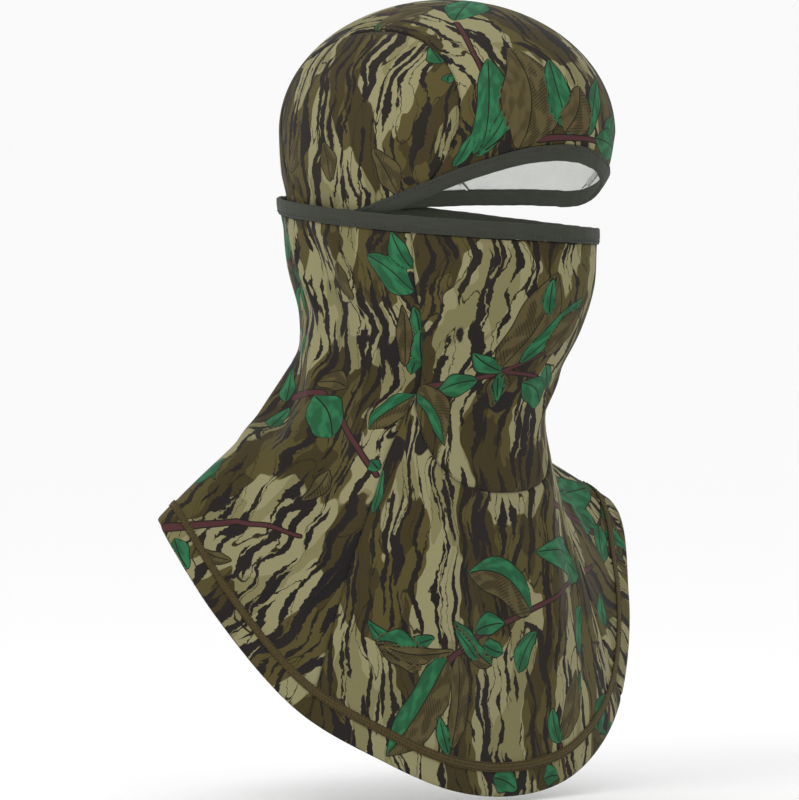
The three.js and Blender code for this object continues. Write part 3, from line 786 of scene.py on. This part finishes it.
def bound_rim(name, rim, offset, fold_up, body, stands_for):
    """A folded band: round at the rim's free edge, and its cut edge lies flat on the knit."""
    profile = []
    for k in range(13):                          # outer face, from the knit to the free edge
        s = k / 12
        profile.append((s * (BINDING - 1.3), -0.95 - 0.35 * math.sin(s * math.pi)))
    for k in range(1, 8):                        # fold
        a = k / 8 * math.pi
        profile.append((BINDING - 1.3 + 1.3 * math.sin(a), 0.45 - 1.4 * math.cos(a)))
    for k in range(8):                           # inner face, back to the knit
        profile.append(((1 - k / 7) * (BINDING - 1.3), 1.85))
    profile = np.array(profile)
    azimuth = np.linspace(0, 2 * math.pi, 420, endpoint=False)[:, None]
    ripple = 0.22 * np.sin(azimuth * 23 + 2 * np.sin(azimuth * 5)) + 0.12 * np.sin(azimuth * 61)
    up = profile[:, 0] if fold_up else BINDING - profile[:, 0]
    base = rim(azimuth) - (BINDING if fold_up else 0)
    band = head_point(azimuth, base + up + 0.4 * ripple, offset - profile[:, 1] + 0.5 * ripple)
    uv = np.stack(arcs(band), -1)
    closed = [np.concatenate([grid, grid[:, :1]], 1) for grid in (band, uv)]
    made = grid_piece(name, *closed, wrap=True)
    made.data.materials.append(elastic)
    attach(made, body)
    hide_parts(stands_for)


bound_rim("cap_binding_band", cap_rim, 0, False, "cap", "cap_binding")
bound_rim("mask_binding_band", mask_rim, MASK_OFFSET, True, "mask_rim", "mask_binding")

# ---- Thread -------------------------------------------------------------------------------
# Textured sewing thread. Each binding is held by one row of short stitches near the knit; the hem
# by a coverstitch, two needle rows with a looper thread that zigzags between them.

thread, thread_shader, u, v = new_material("olive_thread", 0.75, sheen=0.06, specular=0.2)
twist = ((u + v) * 6.0).math("SINE")
shade = (u * 0.3).vector(v * 0.3, 8.0).noise(2.0)
paint(thread, thread_shader, shade.mix(ink("3a3018"), ink("574a28")), twist, 0.5, 0.0001)
dull_thread, dull_shader, u, v = new_material("olive_thread_dull", 0.75, sheen=0.2, specular=0.3)
twist = ((u + v) * 6.0).math("SINE")
shade = (u * 0.3).vector(v * 0.3, 8.0).noise(2.0)
paint(dull_thread, dull_shader, shade.mix(ink("24261f"), ink("33352c")), twist, 0.5, 0.0001)


def stitches(name, starts, ends, normals, radius, sag, material, body, stands_for):
    """One mesh of short threads that dive into the cloth at both ends."""
    rings = np.linspace(0, 1, 6)
    sides = 6
    n = len(starts)
    chord = ends - starts
    along = chord / np.linalg.norm(chord, axis=1, keepdims=True)
    aside = np.cross(along, normals)
    aside /= np.linalg.norm(aside, axis=1, keepdims=True)
    up = np.cross(aside, along)
    arch = np.sin(rings * math.pi)
    turn = np.arange(sides) / sides * 2 * math.pi
    centre = starts[:, None] + chord[:, None] * rings[:, None]
    centre = centre + up[:, None] * (arch * sag - sag * 0.5)[:, None]
    width = radius * (0.35 + 0.65 * np.sqrt(np.clip(arch, 0, 1)))
    around = aside[:, None, None] * np.cos(turn)[:, None]
    around = around + up[:, None, None] * np.sin(turn)[:, None]
    points = centre[:, :, None] + around * width[:, None, None]
    index = np.arange(n * 6 * sides).reshape(n, 6, sides)
    beside = np.roll(index, -1, axis=2)
    faces = np.stack([index[:, :-1], beside[:, :-1], beside[:, 1:], index[:, 1:]], -1)
    faces = faces.reshape(-1, 4).tolist()
    faces += index[:, 0, ::-1].tolist() + index[:, -1].tolist()
    made = mesh_of(name, points.reshape(-1, 3), faces)
    lengths = np.arange(n)[:, None, None] * 3.0 + rings[:, None] * 2.5
    uv = np.stack(np.broadcast_arrays(lengths, turn / 3), -1).reshape(-1, 2)
    layer = made.data.uv_layers.new(name="cloth")
    corners = np.empty(len(made.data.loops), np.int32)
    made.data.loops.foreach_get("vertex_index", corners)
    layer.data.foreach_set("uv", (uv[corners] / 1000).astype(np.float32).ravel())
    bpy.ops.object.select_all(action="DESELECT")
    bpy.context.view_layer.objects.active = made
    made.select_set(True)
    bpy.ops.object.mode_set(mode="EDIT")
    bpy.ops.mesh.select_all(action="SELECT")
    bpy.ops.mesh.normals_make_consistent(inside=False)
    bpy.ops.object.mode_set(mode="OBJECT")
    made.select_set(False)
    made.data.materials.append(material)
    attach(made, body)
    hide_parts(stands_for)


def around_rim(rim, offset, up, count, share):
    azimuth = np.linspace(0, 2 * math.pi, 2400, endpoint=False)
    line = head_point(azimuth, rim(azimuth) + up, offset)
    length = np.cumsum(np.linalg.norm(np.diff(line, axis=0, append=line[:1]), axis=1))
    at = np.interp(np.linspace(0, length[-1], count, endpoint=False), length, azimuth)
    span = 2 * math.pi / count * share
    first = head_point(at, rim(at) + up, offset)
    last = head_point(at + span, rim(at + span) + up, offset)
    normal = first * [1, 1, 0]
    return first, last, normal / np.linalg.norm(normal, axis=1, keepdims=True)


first, last, normal = around_rim(cap_rim, 1.35, BINDING - 1.6, 200, 0.72)
stitches("cap_binding_stitches", first, last, normal, 0.26, 0.25, dull_thread,
         "cap", "cap_binding_stitch")
first, last, normal = around_rim(mask_rim, MASK_OFFSET + 1.35, -BINDING + 1.6, 200, 0.72)
stitches("mask_binding_stitches", first, last, normal, 0.26, 0.25, dull_thread,
         "mask_rim", "mask_binding_stitch")


def hem_line(from_edge, count, lift):
    """Points all round the hem at a distance from its edge, evenly spaced, and their normals."""
    azimuth = np.linspace(0, 2 * math.pi, 1600, endpoint=False)
    edge = mask_point(azimuth, 1.0)
    steps = np.linalg.norm(np.diff(edge, axis=0, append=edge[:1]), axis=1)
    length = np.append(0, np.cumsum(steps))
    even = np.arange(count) / count * length[-1]
    at = np.interp(even, length, np.append(azimuth, 2 * math.pi))
    last_tenth = np.linalg.norm(mask_point(at, 1.0) - mask_point(at, 0.9), axis=1)
    return draped(at, 1 - 0.1 * from_edge / last_tenth, -lift)


HEM_STITCHES = 460
low_row, low_normal = hem_line(13.2, HEM_STITCHES, 0.75)
high_row, high_normal = hem_line(17.9, HEM_STITCHES, 0.75)
low_next, high_next = np.roll(low_row, -1, axis=0), np.roll(high_row, -1, axis=0)
middle = (low_row + low_next) / 2
high_middle = (high_row + high_next) / 2
starts = np.concatenate([low_row, high_row, low_row, high_middle, middle, high_next])
ends = np.concatenate([
    low_row + (low_next - low_row) * 0.9, high_row + (high_next - high_row) * 0.9,
    high_middle, low_next, high_next, np.roll(middle, -1, axis=0)])
normals = np.concatenate([low_normal, high_normal] * 3)
stitches("hem_coverstitch_thread", starts, ends, normals, 0.36, 0.4, thread,
         "neck_bib", "hem_coverstitch")

# ---- Turned hem ---------------------------------------------------------------------------
# The panels' edge is folded up inside by 19 mm, so its printed face shows on the inside of the
# bib. It runs all round in one strip under the coverstitch.

azimuth = np.linspace(0, 2 * math.pi, 720, endpoint=False)[:, None]
# Section of the turned cloth: up its outer face from the fold, then back down its inner face.
section = np.array([
    [0.5, 2.0], [0.7, 1.7], [1.2, 1.5], [2.5, 1.4], [5, 1.4], [8, 1.4], [11, 1.4], [13.4, 1.6],
    [15, 1.5], [17.8, 1.7], [18.6, 1.7], [19, 1.9], [19, 2.3], [18.6, 2.5], [15, 2.4], [11, 2.4],
    [8, 2.4], [5, 2.4], [2.5, 2.4], [1.2, 2.4], [0.7, 2.3]])
from_edge, depth = section[:, 0], section[:, 1]
reach = np.linalg.norm(mask_point(azimuth, 1.0) - mask_point(azimuth, 0.9), axis=-1)
turnup, _ = draped(azimuth, 1 - 0.1 * from_edge / reach, depth)
rows, columns = arcs(turnup)
up_section = np.cumsum(np.append(0, np.abs(np.diff(from_edge)))) + 900
turnup_uv = np.stack(np.broadcast_arrays(rows[:, 6:7], up_section), -1)
turnup = np.concatenate([turnup, turnup[:, :1]], 1)
turnup_uv = np.concatenate([turnup_uv, turnup_uv[:, :1]], 1)
hem_fold = grid_piece("bib_hem_turnup_knit", turnup, turnup_uv, wrap=True)
leaves, twigs = sprigs(41, (0, 880), (1100, 940), (80, 50))
leaf_print(hem_fold, turnup_uv, leaves, twigs)
hem_fold.data.materials.append(camo)
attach(hem_fold, "neck_bib")
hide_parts("bib_hem_turnup")

# ---- Overlocked seams ---------------------------------------------------------------------
# The allowances of every seam lie inside, trimmed to 5 mm and wrapped in grey overlock thread
# whose loops cross the strip. They show through the open neck and the eye slot.

overlock, overlock_shader, u, v = new_material("overlock_thread", 0.85, sheen=0.3, specular=0.2)
loops = ((u + v * 0.35) * 3.6).math("SINE")
shade = (u * 0.25).vector(v * 0.6, 6.0).noise(2.0)
paint(overlock, overlock_shader, (loops * 0.25 + shade * 0.75).mix(ink("a3a5a0"), ink("dcddda")),
      loops, 0.8, 0.0004)
OVAL = np.linspace(0, 2 * math.pi, 13)


def overlocked(name, line, normal, body, stands_for):
    """A flat strip of stitched allowance that follows a line inside the knit."""
    along = np.gradient(line, axis=0)
    along /= np.linalg.norm(along, axis=1, keepdims=True)
    aside = np.cross(normal, along)
    wave = 1 + 0.06 * np.sin(np.arange(len(line)) * 1.9)
    strip = (line[:, None] + aside[:, None] * (2.4 * np.cos(OVAL) * wave[:, None])[..., None]
             + normal[:, None] * (0.55 * np.sin(OVAL))[:, None])
    made = grid_piece(name, strip, np.stack(arcs(strip), -1))
    made.data.materials.append(overlock)
    if body == "falls":
        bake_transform(made)
    else:
        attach(made, body)
    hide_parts(stands_for)


s = np.linspace(0, 1, 150)
for side, word in ((-1, "right"), (1, "left")):
    down = 0.035 + 0.402 * s
    line, normal = draped(side * seam_azimuth(down), down, 2.3)
    overlocked(f"cheek_seam_{word}_overlock", line, normal, "falls", f"cheek_seam_{word}")
    down = 0.47 + 0.8 * s * 0.625
    line, normal = draped(side * seam_azimuth(down), down, 2.3)
    overlocked(f"bib_seam_{word}_overlock", line, normal, "neck_bib", f"bib_seam_{word}")
    line = spaced(crown_section(side), 260)[6:-6]
    normal = line - [0, 2, 20]
    normal /= np.linalg.norm(normal, axis=1, keepdims=True)
    overlocked(f"crown_seam_{word}_overlock", line - normal * 2.3, normal, "cap",
               f"crown_seam_{word}")
across = 0.86 * (2 * s - 1)
down = chin_down(across)
line, normal = draped(across * seam_azimuth(down), down, 2.3)
overlocked("chin_seam_overlock", line, normal, "neck_bib", "chin_seam")
line, normal = draped(np.full_like(s, math.pi), 0.04 + 0.8 * s, 2.3)
overlocked("centre_back_seam_overlock", line, normal, "falls", "centre_back_seam")

# ---- Back join ----------------------------------------------------------------------------
# A bar of zigzag stitches, 34 by 4 mm, that joins the cap's rim to the mask's rim at the centre
# of the back. The two parts are free of each other everywhere else.

low, high = (np.array(corner) * 1000 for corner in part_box("back_join"))
count = 26
azimuth = np.linspace(-0.21, 0.21, count) + math.pi
up = np.where(np.arange(count) % 2 == 0, low[2] + 0.4, high[2] - 0.4)
points = head_point(azimuth, up, 2.1)
normal = points * [1, 1, 0]
normal /= np.linalg.norm(normal, axis=1, keepdims=True)
stitches("back_join_zigzag", points[:-1], points[1:], normal[:-1], 0.45, 0.2, thread,
         "neck_bib", "back_join")

# ---- Camera, light and floor --------------------------------------------------------------

FLOOR = -308                    # millimetres, just under the bib's hem
far = 9e4
corners = [(-far, -far, FLOOR), (far, -far, FLOOR), (far, far, FLOOR), (-far, far, FLOOR)]
floor = mesh_of("floor", corners, [(0, 1, 2, 3)], smooth=False)
paper = bpy.data.materials.new("pale_paper")
paper.use_nodes = True
surface = paper.node_tree.nodes["Principled BSDF"]
surface.inputs["Base Color"].default_value = (0.95, 0.95, 0.95, 1)
surface.inputs["Roughness"].default_value = 0.9
floor.data.materials.append(paper)
floor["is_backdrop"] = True

scene = bpy.context.scene
scene.view_settings.view_transform = "Standard"
world = bpy.data.worlds.new("studio")
scene.world = world
world.use_nodes = True
world.node_tree.nodes["Background"].inputs[0].default_value = (1, 1, 1, 1)
world.node_tree.nodes["Background"].inputs[1].default_value = 1.0

target = Vector((-0.0176, 0.0176, -0.0971))


def lamp(name, azimuth, elevation, distance, size, watts):
    light = bpy.data.lights.new(name, "AREA")
    light.size = size
    light.energy = watts
    holder = bpy.data.objects.new(name, light)
    a, e = azimuth * DEGREE, elevation * DEGREE
    away = Vector((math.sin(a) * math.cos(e), -math.cos(a) * math.cos(e), math.sin(e)))
    holder.location = target + away * distance
    holder.rotation_euler = (-away).to_track_quat("-Z", "Y").to_euler()
    scene.collection.objects.link(holder)


lamp("key", -80, 45, 1.5, 0.7, 6.5)
inner = bpy.data.lights.new("inner_fill", "POINT")
inner.shadow_soft_size = 0.03
inner.energy = 0.12
inner_holder = bpy.data.objects.new("inner_fill", inner)
inner_holder.location = (0.0, 0.0, 0.03)
scene.collection.objects.link(inner_holder)

eye = bpy.data.cameras.new("standing_view")
eye.lens = 500
eye.sensor_width = 36
camera = bpy.data.objects.new("standing_view", eye)
a, e = -45 * DEGREE, 2.5 * DEGREE
away = Vector((math.sin(a) * math.cos(e), -math.cos(a) * math.cos(e), math.sin(e)))
camera.location = target + away * (0.424 * 500 / 36)
camera.rotation_euler = (-away).to_track_quat("-Z", "Y").to_euler()
scene.collection.objects.link(camera)
scene.camera = camera

low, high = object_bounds()
